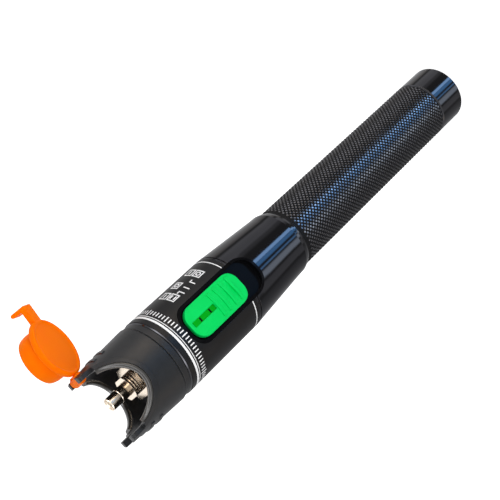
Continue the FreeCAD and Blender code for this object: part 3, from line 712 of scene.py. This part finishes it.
def makeMoulding(name):
    plan = mouldings[name]
    mesh = nodes[plan["node"]].data.copy()
    mesh.name = name
    merged = bmesh.new()
    merged.from_mesh(mesh)
    bmesh.ops.remove_doubles(merged, verts=merged.verts, dist=1e-6)
    merged.to_mesh(mesh)
    merged.free()
    piece = newObject(name, mesh)
    skin = piece.modifiers.new("skin", "REMESH")
    skin.mode = "VOXEL"
    skin.voxel_size = plan["voxel"] * mm
    skin.use_smooth_shade = True
    radii = piece.modifiers.new("radii", "SMOOTH")
    radii.factor = plan["relax"]
    radii.iterations = plan["rounds"]
    bakeModifiers(piece)
    dress(piece, finish[plan["finish"]])
    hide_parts(plan["node"])
    return piece


siliconeCap = makeMoulding("siliconeCap")
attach(siliconeCap, "cap")
siliconeStrap = makeMoulding("siliconeStrap")
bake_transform(siliconeStrap)
print("stage: mouldings")


# floor, studio light and camera
studio = {
    "floorSize": 3.0,
    "floorColour": "#F2F2F2",
    "floorRoughness": 0.9,
    "floorGlow": 0.72,         # what the floor adds to its own light, so that it stays white
    "ambient": 0.54,
    "keyPlace": (-0.42, -0.55, 0.62), "keySize": 0.5, "keyWatts": 2.8,
    "fillPlace": (0.55, -0.35, 0.45), "fillSize": 0.45, "fillWatts": 0.95,
    "lowPlace": (0.16, -0.5, 0.06), "lowSize": 0.3, "lowWatts": 1.0,
    "lampAim": (0.0, 0.0, 0.1),
    "boxGain": 4.4,            # soft boxes are this much brighter than their strengths say
    "backdrop": (0.2, 1.0),    # the white background in gloss: below the pen, and beside and above it
    "backdropSlopes": (-0.5, -0.2),    # slopes between which it goes from one to the other
    # soft boxes that only gloss sees: turn round the pen in degrees from its switch side,
    # half width and soft edge in degrees, colour, strength, and the lowest and highest slope seen
    "boxes": (
        (80.0, 18.0, 7.0, "#F4F4F6", 0.1, -1.2, 1.2),
        (59.0, 4.0, 4.0, "#EDE6E2", 0.1, -1.2, 1.2),
        (40.0, 9.0, 5.0, "#F0F0F4", 0.16, -1.2, 0.5),
        (-32.0, 6.0, 4.0, "#F0F0F4", 0.1, -1.2, 0.5),
        (28.0, 4.0, 6.0, "#F0F0F4", 0.07, -1.2, 0.5),
        (6.0, 2.6, 1.5, "#98CAFF", 1.7, -1.2, -0.47),
        (0.0, 2.8, 2.5, "#62AEF4", 0.9, -1.2, -0.47),
        (-8.0, 1.4, 1.5, "#7CBEFF", 0.7, -1.2, -0.47),
        (-17.0, 4.5, 4.0, "#D4E2F0", 0.62, -1.2, -0.44),
        (-68.0, 25.0, 6.0, "#E4E6F0", 0.03, -1.2, 1.2),
        (22.0, 10.0, 6.0, "#FFEEDC", 1.0, -0.42, 0.45),
        (-40.0, 5.0, 5.0, "#FFE2C4", 0.3, -0.42, 0.45),
        # ring lamp overhead: a thin line on every rolled edge
        (0.0, 90.0, 1.0, "#F4F4F6", 1.6, 0.74, 0.84),
    ),
    "slopeSoft": 0.05,
}


def makeFloor():
    half = studio["floorSize"] / 2
    mesh = bpy.data.meshes.new("studioFloor")
    corners = [(-half, -half, 0), (half, -half, 0), (half, half, 0), (-half, half, 0)]
    mesh.from_pydata(corners, [], [(0, 1, 2, 3)])
    floor = newObject("studioFloor", mesh)
    material = startMaterial("paleFloor")
    tree = material.node_tree
    ray = addNode(tree, "ShaderNodeLightPath").outputs
    seen = addNode(tree, "ShaderNodeMath", {"operation": "MAXIMUM"}, {
        0: ray["Is Camera Ray"], 1: ray["Is Transmission Ray"]})
    glow = addNode(tree, "ShaderNodeMath", {"operation": "MULTIPLY"}, {0: seen, 1: studio["floorGlow"]})
    shader = addNode(tree, "ShaderNodeBsdfPrincipled", inputs={
        "Base Color": linear(studio["floorColour"]), "Roughness": studio["floorRoughness"],
        "Specular IOR Level": 0.0,
        "Emission Color": (1.0, 1.0, 1.0, 1.0), "Emission Strength": glow})
    addNode(tree, "ShaderNodeOutputMaterial", inputs={"Surface": shader})
    dress(floor, material)
    floor.visible_glossy = False


def makeWorld():
    world = bpy.data.worlds.new("studioWorld")
    bpy.context.scene.world = world
    world.use_nodes = True
    tree = world.node_tree
    tree.nodes.clear()
    white = (1.0, 1.0, 1.0, 1.0)
    way = addNode(tree, "ShaderNodeTexCoord").outputs["Generated"]
    way = addNode(tree, "ShaderNodeSeparateXYZ", inputs={0: way}).outputs
    ahead = addNode(tree, "ShaderNodeMath", {"operation": "MULTIPLY"}, {0: way["Y"], 1: -1.0})
    angle = addNode(tree, "ShaderNodeMath", {"operation": "ARCTAN2"}, {0: way["X"], 1: ahead})
    bearing = addNode(tree, "ShaderNodeMath", {"operation": "MULTIPLY"}, {0: angle, 1: math.degrees(1)})
    backdrop = addNode(tree, "ShaderNodeMapRange", {"interpolation_type": "SMOOTHSTEP"}, {
        "Value": way["Z"], "From Min": studio["backdropSlopes"][0], "From Max": studio["backdropSlopes"][1],
        "To Min": studio["backdrop"][0], "To Max": studio["backdrop"][1]})
    total = addNode(tree, "ShaderNodeVectorMath", {"operation": "SCALE"}, {0: white[:3], "Scale": backdrop})
    blur = studio["slopeSoft"]
    for turn, half, soft, colour, strength, lowest, highest in studio["boxes"]:
        # light met at a turn on the pen comes from twice that turn
        off = addNode(tree, "ShaderNodeMath", {"operation": "SUBTRACT"}, {0: bearing, 1: 2 * turn})
        off = addNode(tree, "ShaderNodeMath", {"operation": "WRAP"}, {0: off, 1: 180.0, 2: -180.0})
        off = addNode(tree, "ShaderNodeMath", {"operation": "ABSOLUTE"}, {0: off})
        share = addNode(tree, "ShaderNodeMapRange", {"interpolation_type": "SMOOTHSTEP"}, {
            "Value": off, "From Min": 2 * half - soft, "From Max": 2 * half + soft,
            "To Min": strength * studio["boxGain"], "To Max": 0.0})
        over = addNode(tree, "ShaderNodeMapRange", inputs={
            "Value": way["Z"], "From Min": lowest - blur, "From Max": lowest + blur})
        under = addNode(tree, "ShaderNodeMapRange", inputs={
            "Value": way["Z"], "From Min": highest - blur, "From Max": highest + blur,
            "To Min": 1.0, "To Max": 0.0})
        shown = addNode(tree, "ShaderNodeMath", {"operation": "MULTIPLY"}, {0: share, 1: over})
        shown = addNode(tree, "ShaderNodeMath", {"operation": "MULTIPLY"}, {0: shown, 1: under})
        box = addNode(tree, "ShaderNodeVectorMath", {"operation": "SCALE"}, {
            0: linear(colour)[:3], "Scale": shown})
        total = addNode(tree, "ShaderNodeVectorMath", {"operation": "ADD"}, {0: total, 1: box})
    ray = addNode(tree, "ShaderNodeLightPath").outputs
    plain = addNode(tree, "ShaderNodeBackground", inputs={"Color": white, "Strength": studio["ambient"]})
    seen = addNode(tree, "ShaderNodeBackground", inputs={"Color": white, "Strength": 1.0})
    gloss = addNode(tree, "ShaderNodeBackground", inputs={"Color": total, "Strength": 1.0})
    first = addNode(tree, "ShaderNodeMixShader", inputs={0: ray["Is Glossy Ray"], 1: plain, 2: gloss})
    direct = addNode(tree, "ShaderNodeMath", {"operation": "MAXIMUM"}, {
        0: ray["Is Camera Ray"], 1: ray["Is Transmission Ray"]})
    second = addNode(tree, "ShaderNodeMixShader", inputs={0: direct, 1: first, 2: seen})
    addNode(tree, "ShaderNodeOutputWorld", inputs={"Surface": second})


def makeLamp(name):
    data = bpy.data.lights.new(name + "Lamp", "AREA")
    data.shape = "DISK"
    data.size = studio[name + "Size"]
    data.energy = studio[name + "Watts"]
    lamp = newObject(name + "Lamp", data)
    place = Vector(studio[name + "Place"])
    aim = Vector(studio["lampAim"]) - place
    lamp.matrix_world = Matrix.Translation(place) @ aim.to_track_quat("-Z", "Y").to_matrix().to_4x4()
    lamp.visible_glossy = False


camera = {
    "lens": 75.6,                        # mm
    "sensor": 36.0,                      # mm
    "eye": (0.0047, -0.2657, 0.2802),    # metres
    "aim": (0.0047, 0.0, 0.10454),
    "roll": -133.0,                      # degrees about the line of sight
}


def makeCamera():
    data = bpy.data.cameras.new("viewCamera")
    data.lens = camera["lens"]
    data.sensor_width = camera["sensor"]
    data.clip_start = 0.01
    viewCamera = newObject("viewCamera", data)
    eye = Vector(camera["eye"])
    forward = (Vector(camera["aim"]) - eye).normalized()
    level = forward.cross(Vector((0, 0, 1))).normalized()
    rise = level.cross(forward)
    roll = math.radians(camera["roll"])
    up = rise * math.cos(roll) - level * math.sin(roll)
    turned = Matrix((forward.cross(up), up, -forward)).transposed().to_4x4()
    viewCamera.matrix_world = Matrix.Translation(eye) @ turned
    bpy.context.scene.camera = viewCamera


makeFloor()
makeWorld()
for lampName in ("key", "fill", "low"):
    makeLamp(lampName)
makeCamera()
bpy.context.scene.view_settings.view_transform = "Standard"
print("stage: studio")
